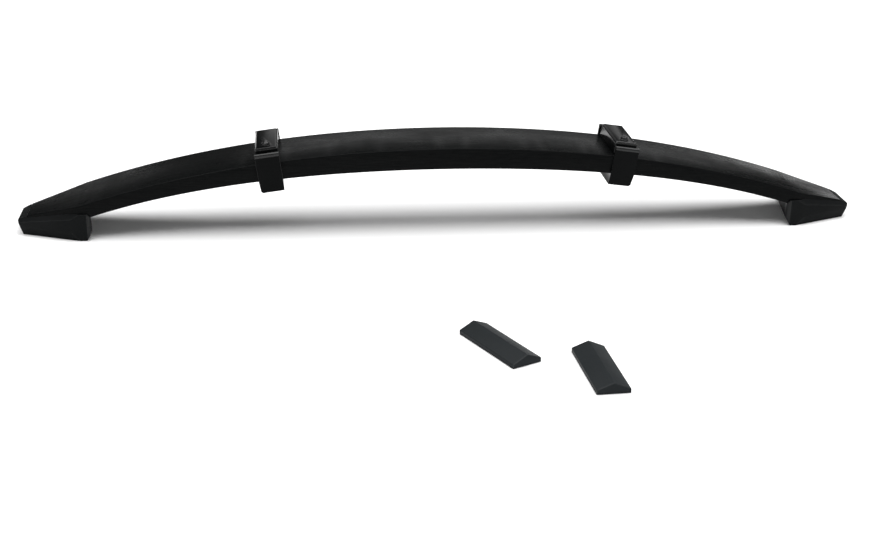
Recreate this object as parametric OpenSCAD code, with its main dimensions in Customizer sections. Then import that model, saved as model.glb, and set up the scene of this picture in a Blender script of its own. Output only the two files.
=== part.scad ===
// Transverse leaf spring kit: one arched composite blade, two clasping rubber
// mounts on its inner stations, a rubber shoe on each end, and two loose wedge pads.
// +X runs along the blade, +Y is the rear and +Z is up. The spring stands on its
// two shoes at z = 0. The origin is the centre of the kit's footprint.

/* [Blade] */
// Width of the blade
blade_w = 108; // [96:1:112]
// Height of the crown above the ground
crown_h = 124.5; // [118:0.5:130]
// Fall of the arch at the reference station, even part
arch_fall = 81.5; // [76:0.5:84]
// Further fall there, which bends the arms more than the middle
arm_fall = 14; // [10:0.5:16]
// Thickness at the middle
mid_t = 30; // [27:0.5:32]
// Thickness along the outer arms
arm_t = 21; // [18:0.5:22]
// Distance from the middle at which the blade reaches the arm thickness
thin_x = 492; // [460:1:510]
// Distance from the middle at which the straight, narrowing tip starts
tip_start_x = 515; // [508:1:520]
// Distance from the middle to the blade's end
tip_end_x = 590; // [586:0.5:591]
// Half width of the blade's end
tip_half_w = 27; // [24:0.5:27]
// Height of the top face at the blade's end
tip_end_h = 27.4; // [27:0.1:28]

/* [Inner mounts] */
// Distance of each mount from the middle
mount_x = 252; // [230:0.5:280]
// Length of the mount along the blade
mount_len = 34; // [28:1:40]
// Length of the upper pad across the blade
pad_run = 92; // [80:1:96]
// Height of the upper pad's flat top above the blade
pad_h = 19.5; // [17:0.1:21]
// Thickness of the saddle's two side walls
wall_t = 4; // [3:0.5:5]
// Height of the lip's centre line above the blade
lip_h = 12; // [10:0.5:13]
// Radius of the rolled lip
lip_r = 3.2; // [2.6:0.1:3.6]
// Depth of the foot below the blade
foot_h = 17.5; // [14:0.5:19]
// Radius of the locating peg
peg_r = 5.5; // [4:0.5:7]
// Straight height of the locating peg
peg_h = 3; // [2:0.5:4]
// Distance of the peg in front of the blade's centre line
peg_y = 30; // [0:1:36]

/* [End shoes] */
// Length of the kit over the two shoes
overall_length = 1204; // [1200:1:1210]
// Half width of the shoe's parallel part
shoe_half_w = 57; // [56:0.5:58]
// Half width of the sole
sole_half_w = 47; // [44:0.5:50]
// Height of the shoe's level rim
rim_h = 38.4; // [36:0.2:40]
// Height of the edge between side wall and sole chamfer
chamfer_h = 12.5; // [10:0.5:14]
// Distance from the middle to the heel where it meets the side wall in front
heel_x = 496.5; // [494:0.5:500]
// How much further out the heel meets the side wall at the rear
heel_skew = 21.5; // [16:0.5:24]
// How far the heel leans in below the edge of the sole chamfer
heel_lean = 8; // [6:0.5:10]
// Rounding of the heel's front corner
heel_round = 6; // [4:0.5:8]
// Height of the nose at its end
nose_h = 21.7; // [20:0.1:23]

/* [Loose pads] */
// Length of a loose pad
loose_len = 112; // [100:1:120]
// Width of a loose pad
loose_w = 40; // [36:1:44]
// Height of its two long edges
loose_eave_h = 5.7; // [5:0.1:7]
// Height of its ridge
loose_ridge_h = 14; // [12:0.1:17]
// Place and turn of the left loose pad, counted from the blade's middle: x, y, degrees
loose_left = [18, -439, -63.4];
// Place and turn of the right loose pad: x, y, degrees
loose_right = [124, -511, -86.6];

/* [Hidden] */

spring_y = 254.5;       // the blade's centre line, behind the kit's centre
station_x = 571.5;      // reference station of the arch
strips = 98;            // flat strips that make up each curved face of the blade
tip_bed_z = 9;          // the tips' undersides are flat at this height
fit_gap = 0.1;          // rubber to blade, where both belong to one rigid body
shoe_gap = 0.25;        // shoe to blade, which part when the blade bends
far = 400;              // longer than anything that is cut
plate_t = 3;            // thickness of every bonded steel plate

pad_len = mount_len - 2;
pad_chamfer = 2.5;
lip_y = blade_w / 2 + wall_t / 2 - 0.3;
foot_corner = 2.5;
foot_step = 4;          // the foot starts this far above the blade's underside
foot_draft_x = 0.8;
foot_draft_y = 7;

shoe_x = overall_length / 2;
shoe_taper_x = 525;     // the side walls start to taper here
sole_taper_x = 538;     // the sole starts to taper here
rim_corner = 6;         // sloped inner end of the rim
brow_x = 592;           // the rim bends down to the nose here
brow_z = 26.6;
sole_plate_x = 551;     // middle of the sole plate
nose_half_w = 27;
nose_lean = 6;          // the nose's end leans in by this much at the sole
nose_sole_half_w = 24;
shoulder_drop = 8;      // the sloped band below the rim
shoulder_in = 7;

RUBBER = [0.09, 0.09, 0.10];
GRP = [0.12, 0.12, 0.13];
SLATE = [0.19, 0.21, 0.22];
STEEL = [0.60, 0.61, 0.63];

// ---- the arch ----

function arch(x) =
    crown_h - arch_fall * pow(x / station_x, 2) - arm_fall * pow(x / station_x, 4);

// the arch up to the tips, which are straight
function blade_top(x) = abs(x) < tip_start_x ? arch(x) :
    tip_end_h + (arch(tip_start_x) - tip_end_h)
        * (tip_end_x - abs(x)) / (tip_end_x - tip_start_x);

function blade_t(x) =
    arm_t + (mid_t - arm_t) * pow(1 - pow(min(abs(x) / thin_x, 1), 2), 2);

function blade_bottom(x) = max(blade_top(x) - blade_t(x), tip_bed_z);

// downward slope of the top face in degrees
function blade_slope(x) = atan(
    (2 * arch_fall * x / station_x + 4 * arm_fall * pow(x / station_x, 3)) / station_x);

// the blade, or the blade grown by a gap on every side
module blade_solid(grow = 0) {
    reach = tip_end_x + grow;
    stations = [for (i = [0:strips]) reach * (2 * i / strips - 1)];
    half_w = blade_w / 2 + grow;
    intersection() {
        translate([0, far, 0]) rotate([90, 0, 0]) linear_extrude(2 * far)
            polygon(concat(
                [for (x = stations) [x, blade_top(x) + grow]],
                [for (i = [strips:-1:0]) [stations[i], blade_bottom(stations[i]) - grow]]));
        translate([0, 0, -far]) linear_extrude(2 * far)
            polygon([
                [-tip_start_x, -half_w], [tip_start_x, -half_w],
                [reach, -tip_half_w - grow], [reach, tip_half_w + grow],
                [tip_start_x, half_w], [-tip_start_x, half_w],
                [-reach, tip_half_w + grow], [-reach, -tip_half_w - grow]]);
    }
}

// ---- helpers ----

// side is 1 for the right end and -1 for the left end, its mirror image
module on_side(side)
    translate([0, spring_y, 0]) mirror([side < 0 ? 1 : 0, 0, 0]) children();

// the frame of an inner mount: x outwards along the blade, z square to its top face
module at_mount()
    translate([mount_x, 0, blade_top(mount_x)]) rotate([0, blade_slope(mount_x), 0])
        children();

// an outline in x and z, drawn out along y
module across(run) translate([0, run / 2, 0]) rotate([90, 0, 0]) linear_extrude(run)
    children();

// an outline in y and z, drawn out along x
module along(run) translate([-run / 2, 0, 0]) rotate([90, 0, 90]) linear_extrude(run)
    children();

// a plate of the given size, its underside's middle at the origin
module plate(size) translate([-size.x / 2, -size.y / 2, 0]) cube(size);

// everything on the outer side of the plane through three points, which run
// anticlockwise when they are seen from that side
module beyond(a, b, c) {
    n = cross(b - a, c - a);
    translate(a) rotate([0, acos(n.z / norm(n)), atan2(n.y, n.x)])
        translate([-far, -far, 0]) cube(2 * far);
}

// ---- inner mounts ----

module upper_plate_solid()
    translate([0, 0, 8]) plate([pad_len - 8, pad_run - 12, plate_t]);

module upper_pad_solid() {
    half = pad_len / 2;
    run = pad_run / 2;
    difference() {
        at_mount() {
            intersection() {
                across(pad_run) polygon([
                    [-half, -1], [half, -1], [half, pad_h - pad_chamfer],
                    [half - pad_chamfer, pad_h], [pad_chamfer - half, pad_h],
                    [-half, pad_h - pad_chamfer]]);
                along(pad_len) polygon([
                    [-run, -1], [run, -1], [run, pad_h - pad_chamfer],
                    [run - pad_chamfer, pad_h], [pad_chamfer - run, pad_h],
                    [-run, pad_h - pad_chamfer]]);
            }
            translate([0, -peg_y, pad_h - 1]) cylinder(h = peg_h + 1, r = peg_r, $fn = 48);
            translate([0, -peg_y, pad_h + peg_h])
                cylinder(h = 2, r1 = peg_r, r2 = peg_r / 2, $fn = 48);
        }
        at_mount() upper_plate_solid();
        blade_solid(fit_gap);
    }
}

module saddle_plate_solid()
    translate([0, 0, -blade_t(mount_x) - 10])
        plate([mount_len - 12, blade_w - 28, plate_t]);

module saddle_solid() {
    under = -blade_t(mount_x);
    half = mount_len / 2;
    outer_y = blade_w / 2 + wall_t;
    foot_top = under + foot_step;
    foot_end = under - foot_h;
    difference() {
        at_mount() {
            difference() {
                translate([-half, -outer_y, foot_top])
                    cube([mount_len, 2 * outer_y, lip_h - foot_top]);
                translate([-far, -blade_w / 2 - fit_gap, -1])
                    cube([2 * far, blade_w + 2 * fit_gap, far]);
            }
            for (s = [-1, 1]) translate([-half, s * lip_y, lip_h]) rotate([0, 90, 0])
                cylinder(h = mount_len, r = lip_r, $fn = 40);
            intersection() {
                across(far) polygon([
                    [-half, foot_top + 1], [-half, foot_top],
                    [foot_draft_x - half, foot_end],
                    [half - foot_draft_x - foot_corner, foot_end],
                    [half - foot_draft_x, foot_end + foot_corner],
                    [half, foot_top], [half, foot_top + 1]]);
                along(far) polygon([
                    [-outer_y, foot_top + 1], [-outer_y, foot_top],
                    [foot_draft_y - outer_y, foot_end], [outer_y - foot_draft_y, foot_end],
                    [outer_y, foot_top], [outer_y, foot_top + 1]]);
            }
        }
        at_mount() saddle_plate_solid();
        blade_solid(fit_gap);
    }
}

// ---- end shoes ----

module sole_plate_solid()
    translate([sole_plate_x, 0, 3]) plate([50, 44, plate_t]);

// half of the planes that bound the shoe's sides; the other half mirrors them
module shoe_side_cuts() {
    beyond([0, -shoe_half_w, 0], [1, -shoe_half_w, 0], [0, -shoe_half_w, 1]);
    beyond([0, -sole_half_w, 0], [1, -sole_half_w, 0], [0, -shoe_half_w, chamfer_h]);
    // tapering wall and the chamfer below it
    beyond([shoe_taper_x, -shoe_half_w, 0], [shoe_x, -nose_half_w, 0],
        [shoe_taper_x, -shoe_half_w, 1]);
    beyond([sole_taper_x, -sole_half_w, 0], [shoe_x - nose_lean, -nose_sole_half_w, 0],
        [shoe_taper_x, -shoe_half_w, chamfer_h]);
    // sloped band between the rim and the tapering wall
    beyond([shoe_taper_x + 2, -shoe_half_w, rim_h - shoulder_drop],
        [shoe_x, -nose_half_w, nose_h - 3],
        [shoe_taper_x + 2, shoulder_in - shoe_half_w, rim_h]);
}

// the skewed heel, which leans in towards the sole, and its rounded front corner
module heel_cuts() {
    rear = [heel_x + heel_skew, shoe_half_w, 0];
    front = [heel_x, -shoe_half_w, 0];
    lean = [heel_lean, 0, 0];
    beyond(rear, front, front + [0, 0, 1]);
    beyond(rear + lean, front + lean, front + [0, 0, chamfer_h]);
    skew = atan(heel_skew / (2 * shoe_half_w));
    centre = front + [heel_round * (1 + sin(skew)) / cos(skew), heel_round, 0];
    difference() {
        translate([0, 0, -1]) linear_extrude(far) polygon([
            for (p = [front - [1, 1, 0], [centre.x, front.y - 1, 0], centre,
                centre + (heel_round + 1) * [-cos(skew), sin(skew), 0]]) [p.x, p.y]]);
        translate([centre.x, centre.y, -2]) cylinder(h = far + 2, r = heel_round, $fn = 64);
    }
}

module shoe_solid() {
    difference() {
        across(2 * shoe_half_w) polygon([
            [heel_x, 0], [shoe_x - nose_lean, 0], [shoe_x, nose_h],
            [brow_x, brow_z], [shoe_taper_x, rim_h],
            [heel_x + rim_corner, rim_h], [heel_x, rim_h - rim_corner]]);
        shoe_side_cuts();
        mirror([0, 1, 0]) shoe_side_cuts();
        heel_cuts();
        sole_plate_solid();
        blade_solid(shoe_gap);
    }
}

// ---- loose pads ----

module loose_pad_solid(place)
    translate([place[0], spring_y + place[1], 0]) rotate([0, 0, place[2]])
        along(loose_len) polygon([
            [-loose_w / 2, 0], [loose_w / 2, 0], [loose_w / 2, loose_eave_h],
            [0, loose_ridge_h], [-loose_w / 2, loose_eave_h]]);

// ---- nodes ----

module composite_blade() color(GRP) translate([0, spring_y, 0]) blade_solid();
module left_upper_pad() color(RUBBER) on_side(-1) upper_pad_solid();
module right_upper_pad() color(RUBBER) on_side(1) upper_pad_solid();
module left_upper_plate() color(STEEL) on_side(-1) at_mount() upper_plate_solid();
module right_upper_plate() color(STEEL) on_side(1) at_mount() upper_plate_solid();
module left_saddle() color(RUBBER) on_side(-1) saddle_solid();
module right_saddle() color(RUBBER) on_side(1) saddle_solid();
module left_saddle_plate() color(STEEL) on_side(-1) at_mount() saddle_plate_solid();
module right_saddle_plate() color(STEEL) on_side(1) at_mount() saddle_plate_solid();
module left_end_shoe() color(RUBBER) on_side(-1) shoe_solid();
module right_end_shoe() color(RUBBER) on_side(1) shoe_solid();
module left_sole_plate() color(STEEL) on_side(-1) sole_plate_solid();
module right_sole_plate() color(STEEL) on_side(1) sole_plate_solid();
module left_loose_pad() color(SLATE) loose_pad_solid(loose_left);
module right_loose_pad() color(SLATE) loose_pad_solid(loose_right);

composite_blade();
left_upper_pad();
right_upper_pad();
left_upper_plate();
right_upper_plate();
left_saddle();
right_saddle();
left_saddle_plate();
right_saddle_plate();
left_end_shoe();
right_end_shoe();
left_sole_plate();
right_sole_plate();
left_loose_pad();
right_loose_pad();
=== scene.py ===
"""Looks of the transverse leaf spring kit: blade, inner mounts, end shoes and loose pads."""
import math

import bmesh
import bpy
from mathutils import Matrix, Vector


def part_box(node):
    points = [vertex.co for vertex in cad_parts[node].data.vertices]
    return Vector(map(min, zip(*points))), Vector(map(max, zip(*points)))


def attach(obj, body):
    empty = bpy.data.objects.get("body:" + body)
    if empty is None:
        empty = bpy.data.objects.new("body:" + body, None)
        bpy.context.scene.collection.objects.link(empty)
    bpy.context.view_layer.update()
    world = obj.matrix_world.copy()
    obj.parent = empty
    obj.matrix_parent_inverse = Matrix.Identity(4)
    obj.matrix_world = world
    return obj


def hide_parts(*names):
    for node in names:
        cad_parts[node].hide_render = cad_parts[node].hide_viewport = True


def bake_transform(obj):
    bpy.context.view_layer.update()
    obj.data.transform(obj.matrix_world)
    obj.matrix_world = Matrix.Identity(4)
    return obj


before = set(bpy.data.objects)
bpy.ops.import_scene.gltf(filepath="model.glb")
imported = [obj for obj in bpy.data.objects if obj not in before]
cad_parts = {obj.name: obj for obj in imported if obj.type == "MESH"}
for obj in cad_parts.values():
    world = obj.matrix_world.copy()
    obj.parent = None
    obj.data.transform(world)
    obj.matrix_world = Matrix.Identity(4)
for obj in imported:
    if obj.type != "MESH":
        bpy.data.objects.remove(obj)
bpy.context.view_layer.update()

MM = 0.001
SIDES = {"left": -1, "right": 1}

# ---- places that are worked out from the frame ----
# The blade is cut at CUT_X, in the middle of a saddle.

blade_low, blade_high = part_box("composite_blade")
SPRING_Y = (blade_low.y + blade_high.y) / 2
CUT_X = abs(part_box("right_saddle")[0].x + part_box("right_saddle")[1].x) / 2

# ---- mesh settings ----

WELD = 0.01 * MM                     # points closer than this become one
FLAT = math.radians(0.05)            # faces that differ by less become one
SHARP = math.radians(25)             # edges sharper than this are rounded
EDGE_STEPS = 3
NARROW_FACE = 25 * MM * MM           # smaller faces are the rounded edges
BLADE_EDGE = 1.6 * MM


# ---- meshes ----

def node_mesh(node):
    """A welded bmesh of a CAD node with its flat faces whole."""
    bm = bmesh.new()
    bm.from_mesh(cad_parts[node].data)
    bmesh.ops.remove_doubles(bm, verts=bm.verts, dist=WELD)
    bmesh.ops.dissolve_limit(
        bm, angle_limit=FLAT, verts=bm.verts, edges=bm.edges)
    return bm


def cut(bm, x, keep_above):
    """Cuts the bmesh square to X, keeps one side and closes it."""
    geometry = [*bm.verts, *bm.edges, *bm.faces]
    cut_edges = bmesh.ops.bisect_plane(
        bm, geom=geometry, dist=1e-6, plane_co=(x, 0, 0), plane_no=(1, 0, 0),
        clear_inner=keep_above, clear_outer=not keep_above)["geom_cut"]
    rim = [e for e in cut_edges if isinstance(e, bmesh.types.BMEdge)]
    bmesh.ops.holes_fill(bm, edges=rim, sides=0)


def finished(name, bm, edge_round):
    """An object from the bmesh, with every edge sharper than SHARP rounded."""
    mesh = bpy.data.meshes.new(name)
    bmesh.ops.recalc_face_normals(bm, faces=bm.faces)
    bm.to_mesh(mesh)
    bm.free()
    obj = bpy.data.objects.new(name, mesh)
    bpy.context.collection.objects.link(obj)
    for face in mesh.polygons:
        face.use_smooth = True
    bevel = obj.modifiers.new("edges", "BEVEL")
    bevel.width = edge_round
    bevel.segments = EDGE_STEPS
    bevel.limit_method = "ANGLE"
    bevel.angle_limit = SHARP
    bevel.harden_normals = True
    bevel.use_clamp_overlap = True
    bpy.context.view_layer.update()
    shaped = obj.evaluated_get(bpy.context.evaluated_depsgraph_get())
    obj.data = bpy.data.meshes.new_from_object(shaped)
    obj.modifiers.clear()
    return obj


# ---- materials ----

class Nodes:
    """A small helper that builds a node material."""

    def __init__(self, name):
        self.material = bpy.data.materials.new(name)
        self.material.use_nodes = True
        self.tree = self.material.node_tree
        self.shader = self.tree.nodes["Principled BSDF"]
        self.place = self.add("ShaderNodeTexCoord").outputs["Object"]

    def add(self, kind, **settings):
        node = self.tree.nodes.new(kind)
        for key, value in settings.items():
            if key in node.inputs:
                node.inputs[key].default_value = value
            else:
                setattr(node, key, value)
        return node

    def link(self, a, b):
        self.tree.links.new(a, b)

    def stretched(self, scale):
        mapping = self.add("ShaderNodeMapping")
        mapping.inputs["Scale"].default_value = scale
        self.link(self.place, mapping.inputs["Vector"])
        return mapping.outputs["Vector"]

    def noise(self, scale, detail=4.0, roughness=0.6, vector=None):
        node = self.add("ShaderNodeTexNoise", Scale=scale, Detail=detail, Roughness=roughness)
        self.link(vector or self.place, node.inputs["Vector"])
        return node.outputs["Fac"]

    def spread(self, value, low, high, start=0.0, end=1.0):
        node = self.add("ShaderNodeMapRange")
        node.inputs["From Min"].default_value = low
        node.inputs["From Max"].default_value = high
        node.inputs["To Min"].default_value = start
        node.inputs["To Max"].default_value = end
        self.link(value, node.inputs["Value"])
        return node.outputs["Result"]

    def mixed(self, factor, a, b):
        node = self.add("ShaderNodeMix", data_type="RGBA")
        for socket, value in ((node.inputs[6], a), (node.inputs[7], b)):
            if isinstance(value, tuple):
                socket.default_value = (*value, 1.0)
            else:
                self.link(value, socket)
        self.link(factor, node.inputs[0])
        return node.outputs[2]

    def maths(self, kind, a, b):
        node = self.add("ShaderNodeMath", operation=kind)
        for socket, value in zip(node.inputs, (a, b)):
            if isinstance(value, float):
                socket.default_value = value
            else:
                self.link(value, socket)
        return node.outputs[0]

    def bumped(self, *layers):
        """Stacks bumps of (height, depth in metres)."""
        last = None
        for height, depth in layers:
            node = self.add("ShaderNodeBump", Strength=1.0, Distance=depth)
            self.link(height, node.inputs["Height"])
            if last:
                self.link(last, node.inputs["Normal"])
            last = node.outputs["Normal"]
        self.link(last, self.shader.inputs["Normal"])


def painted_composite():
    """Black satin paint over a laminate whose fibres run along the blade."""
    n = Nodes("painted_composite")
    fibres = n.noise(50.0, 5.0, 0.65, n.stretched((1.0, 22.0, 22.0)))
    smears = n.noise(9.0, 5.0, 0.62, n.stretched((1.0, 2.6, 2.6)))
    dust = n.spread(n.noise(260.0, 3.0, 0.7), 0.62, 0.80)
    tint = n.mixed(n.spread(fibres, 0.35, 0.65), (0.0016, 0.0019, 0.0020), (0.0042, 0.0045, 0.0045))
    n.link(n.mixed(n.maths("MULTIPLY", dust, 0.22), tint, (0.028, 0.028, 0.027)),
           n.shader.inputs["Base Color"])
    rough = n.maths("ADD", n.spread(smears, 0.38, 0.64, 0.20, 0.34), n.spread(fibres, 0.3, 0.7, 0.0, 0.10))
    n.link(rough, n.shader.inputs["Roughness"])
    n.shader.inputs["Specular IOR Level"].default_value = 0.03
    n.bumped((fibres, 0.00012), (n.noise(420.0, 3.0, 0.6), 0.00003), (smears, 0.0008))
    return n.material


def moulded_rubber(name, dark, light, rough_low, rough_high, specular, grain):
    """Moulded rubber with bloom, fine grain and a little dust."""
    n = Nodes(name)
    bloom = n.noise(14.0, 5.0, 0.55)
    fine = n.noise(900.0, 3.0, 0.6)
    dust = n.spread(n.noise(310.0, 3.0, 0.7), 0.64, 0.8)
    tint = n.mixed(n.spread(bloom, 0.3, 0.7), dark, light)
    n.link(n.mixed(n.maths("MULTIPLY", dust, 0.3), tint, tuple(3.0 * c for c in light)),
           n.shader.inputs["Base Color"])
    n.link(n.spread(bloom, 0.3, 0.7, rough_low, rough_high), n.shader.inputs["Roughness"])
    n.shader.inputs["Specular IOR Level"].default_value = specular
    n.bumped((bloom, 0.0004), (fine, grain))
    return n.material


def insert_steel():
    """Phosphated sheet steel of the plates inside the rubber."""
    n = Nodes("insert_steel")
    n.shader.inputs["Metallic"].default_value = 1.0
    crystals = n.noise(700.0, 4.0, 0.7)
    n.link(n.mixed(crystals, (0.30, 0.31, 0.32), (0.52, 0.53, 0.54)), n.shader.inputs["Base Color"])
    n.link(n.spread(crystals, 0.3, 0.7, 0.42, 0.62), n.shader.inputs["Roughness"])
    n.bumped((crystals, 0.00004))
    return n.material


COMPOSITE = painted_composite()
MOUNT_RUBBER = moulded_rubber(
    "mount_rubber", (0.0020, 0.0023, 0.0024), (0.0034, 0.0037, 0.0038), 0.12, 0.20, 0.031, 0.00002)
# Painted highlight: a lighter, glossier copy of the mount rubber on the rounded edges, the lip bead and
# the peg.
MOUNT_EDGE_HIGHLIGHT = moulded_rubber(
    "mount_rubber_painted_highlight", (0.0030, 0.0033, 0.0034), (0.0050, 0.0054, 0.0056), 0.14, 0.22, 0.30, 0.00001)
SHOE_RUBBER = moulded_rubber(
    "shoe_rubber", (0.0044, 0.0050, 0.0052), (0.0068, 0.0073, 0.0075), 0.46, 0.60, 0.035, 0.00003)
# Painted highlight: a lighter, glossier copy of the shoe rubber on the rounded edges of the shoes.
SHOE_EDGE_HIGHLIGHT = moulded_rubber(
    "shoe_rubber_painted_highlight", (0.0060, 0.0066, 0.0068), (0.0090, 0.0096, 0.0098), 0.24, 0.34, 0.16, 0.00002)
LOOSE_RUBBER = moulded_rubber(
    "loose_rubber", (0.0120, 0.0142, 0.0155), (0.0150, 0.0174, 0.0188), 0.46, 0.60, 0.07, 0.00004)
# Painted highlight: a lighter, glossier copy of the loose pad rubber on the rounded edges and the ridge.
LOOSE_EDGE_HIGHLIGHT = moulded_rubber(
    "loose_rubber_painted_highlight", (0.0160, 0.0180, 0.0190), (0.0210, 0.0235, 0.0250), 0.34, 0.46, 0.14, 0.00003)
INSERT_STEEL = insert_steel()


def clothe(obj, material, edges=None):
    """Gives the object its material, and its narrow faces, the rounded edges, a second material that
    paints highlights on them.
    """
    obj.data.materials.clear()
    obj.data.materials.append(material)
    if edges:
        obj.data.materials.append(edges)
    for face in obj.data.polygons:
        face.material_index = int(bool(edges) and face.area < NARROW_FACE)


# ---- blade ----

def make_blade():
    """The blade in three closed lengths, whose cuts lie inside the saddles."""
    for side, sign in SIDES.items():
        bm = node_mesh("composite_blade")
        cut(bm, sign * CUT_X, keep_above=sign > 0)
        arm = finished(f"blade_{side}_arm", bm, BLADE_EDGE)
        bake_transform(arm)
        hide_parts("composite_blade")
        clothe(arm, COMPOSITE)
    bm = node_mesh("composite_blade")
    cut(bm, -CUT_X, keep_above=True)
    cut(bm, CUT_X, keep_above=False)
    middle = finished("blade_middle", bm, BLADE_EDGE)
    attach(middle, "root")
    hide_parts("composite_blade")
    clothe(middle, COMPOSITE)


# ---- rubber pieces ----

def make_rubber(node, body, material, edges, edge_round):
    piece = finished(f"{node}_moulding", node_mesh(node), edge_round)
    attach(piece, body)
    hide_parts(node)
    clothe(piece, material, edges)


make_blade()
for side in SIDES:
    for node, edge_round in ((f"{side}_upper_pad", 2.0 * MM), (f"{side}_saddle", 1.0 * MM)):
        make_rubber(node, "root", MOUNT_RUBBER, MOUNT_EDGE_HIGHLIGHT, edge_round)
    make_rubber(f"{side}_end_shoe", f"{side}_end", SHOE_RUBBER, SHOE_EDGE_HIGHLIGHT, 1.8 * MM)
    make_rubber(f"{side}_loose_pad", f"{side}_loose", LOOSE_RUBBER, LOOSE_EDGE_HIGHLIGHT,
                0.9 * MM)
for name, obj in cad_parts.items():
    if name.endswith("_plate"):
        obj.data.materials.clear()
        obj.data.materials.append(INSERT_STEEL)


# ---- studio ----

def make_floor():
    material = Nodes("pale_floor")
    grain = material.noise(3.0, 3.0, 0.5)
    material.link(material.mixed(grain, (0.93, 0.93, 0.93), (0.95, 0.95, 0.95)),
                  material.shader.inputs["Base Color"])
    material.shader.inputs["Roughness"].default_value = 0.9
    material.shader.inputs["Specular IOR Level"].default_value = 0.1
    bpy.ops.mesh.primitive_plane_add(size=8, location=(0, -1.2, 0))
    floor = bpy.context.object
    floor.name = "floor"
    floor.data.materials.append(material.material)


def soft_light(name, place, target, size, power):
    light = bpy.data.lights.new(name, "AREA")
    light.shape = "RECTANGLE"
    light.size, light.size_y = size
    light.energy = power
    obj = bpy.data.objects.new(name, light)
    obj.location = place
    obj.rotation_mode = "QUATERNION"
    obj.rotation_quaternion = (Vector(target) - Vector(place)).to_track_quat("-Z", "Y")
    bpy.context.collection.objects.link(obj)


def make_light():
    world = bpy.data.worlds.new("studio")
    world.use_nodes = True
    background = world.node_tree.nodes["Background"]
    background.inputs["Color"].default_value = (1.0, 1.0, 1.0, 1.0)
    background.inputs["Strength"].default_value = 0.05
    bpy.context.scene.world = world
    soft_light("top_light", (0.2, 0.3, 3.0), (0.2, 0.3, 0), (5.0, 4.0), 235)
    soft_light("back_light", (0.52, 2.3, 0.75), (0.52, 0, 0.75), (1.95, 0.9), 4.0)
    soft_light("left_back_light", (-1.1, 2.2, 0.6), (-1.1, 0, 0.6), (0.6, 0.6), 0.38)
    soft_light("right_back_light", (2.4, 2.2, 0.45), (0.3, 0.25, 0.1), (0.7, 0.6), 0.62)
    soft_light("front_light", (0, -3.2, 0.9), (0, 0, 0.9), (6.0, 1.2), 32)
    soft_light("right_light", (2.6, -0.6, 0.9), (0.6, 0.2, 0), (1.2, 0.8), 12)
    soft_light("left_light", (-2.5, -0.8, 0.9), (-0.6, 0.2, 0), (1.2, 0.8), 12)


def make_camera():
    """A photographer's view from the front, a little left of the middle and above."""
    data = bpy.data.cameras.new("camera")
    data.lens = 57.49
    data.sensor_width = 36
    camera = bpy.data.objects.new("camera", data)
    yaw, look_down, roll = -6.685, 22.511, 1.116
    stand = (-0.2263, SPRING_Y - 1.9311, 0.7174)
    turn = (Matrix.Rotation(math.radians(yaw), 4, "Z")
            @ Matrix.Rotation(math.radians(90 - look_down), 4, "X")
            @ Matrix.Rotation(math.radians(roll), 4, "Z"))
    camera.matrix_world = Matrix.Translation(stand) @ turn
    bpy.context.collection.objects.link(camera)
    bpy.context.scene.camera = camera


make_floor()
make_light()
make_camera()
bpy.context.scene.view_settings.view_transform = "Standard"
bpy.context.scene.view_settings.look = "None"
